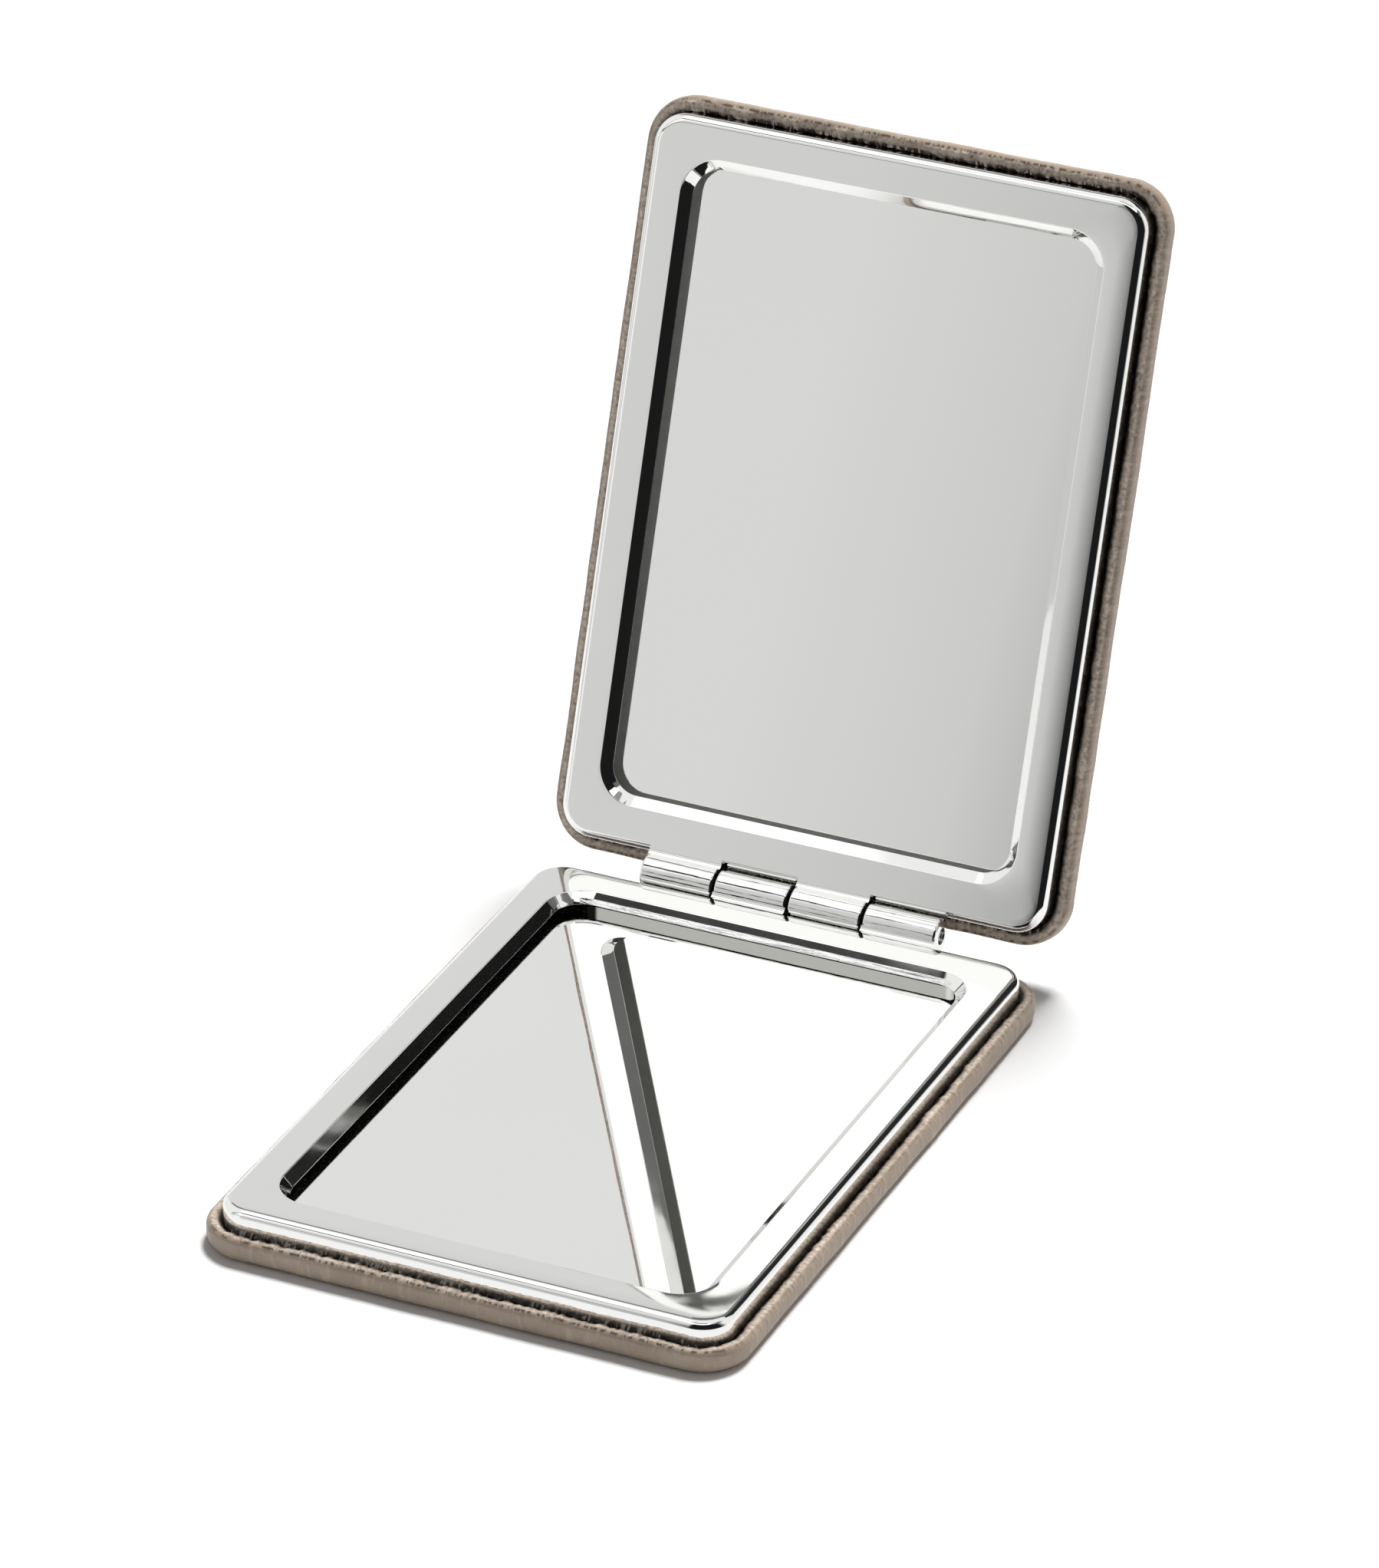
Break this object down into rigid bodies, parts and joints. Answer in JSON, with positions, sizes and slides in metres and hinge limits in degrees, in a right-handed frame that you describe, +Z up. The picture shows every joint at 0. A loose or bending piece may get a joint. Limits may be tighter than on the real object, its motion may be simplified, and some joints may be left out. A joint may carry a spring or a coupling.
{
  "type": "compact mirror",
  "caption": "Folding rectangular pocket mirror: plated frames with recessed glass, a pinned knuckle hinge and soft wrapped covers with a rolled edge, standing open.",
  "frame": {"origin": "centre of the base's underside, the flat outer face of its cover", "axes": "+Z up, square to the underside; +X along the hinge, to the right as the open mirror is faced; +Y from the base's front edge towards the hinge, and on to where the open lid leans back"},
  "size_m": [0.0636, 0.1213, 0.0875],
  "materials": {
    "plated_metal": "bright plated, polished",
    "mirror_glass": "silvered glass",
    "mounting_tape": "white foam tape",
    "magnet": "nickel-plated disc",
    "adhesive_sheet": "clear amber adhesive film",
    "moulded_tray": "moulded, matt",
    "padding_foam": "thin closed-cell foam",
    "leatherette": "fine pebble grain, satin",
    "pin_steel": "drawn wire, plated"
  },
  "bodies": {
    "base": {"base_frame": "plated_metal", "base_mirror": "mirror_glass", "base_mirror_tape": "mounting_tape", "base_magnet_left": "magnet", "base_magnet_right": "magnet", "base_bond_sheet": "adhesive_sheet", "base_tray": "moulded_tray", "base_padding": "padding_foam", "base_wrap": "leatherette", "hinge_pin": "pin_steel"},
    "lid": {"lid_frame": "plated_metal", "lid_mirror": "mirror_glass", "lid_mirror_tape": "mounting_tape", "lid_magnet_left": "magnet", "lid_magnet_right": "magnet", "lid_bond_sheet": "adhesive_sheet", "lid_tray": "moulded_tray", "lid_padding": "padding_foam", "lid_wrap": "leatherette"}
  },
  "joints": [
    {"name": "lid_hinge", "type": "hinge", "parent": "base", "child": "lid", "pos_m": [0, 0.0441, 0.0054], "axis": [-1, 0, 0], "range_deg": [-109, 71]}
  ]
}
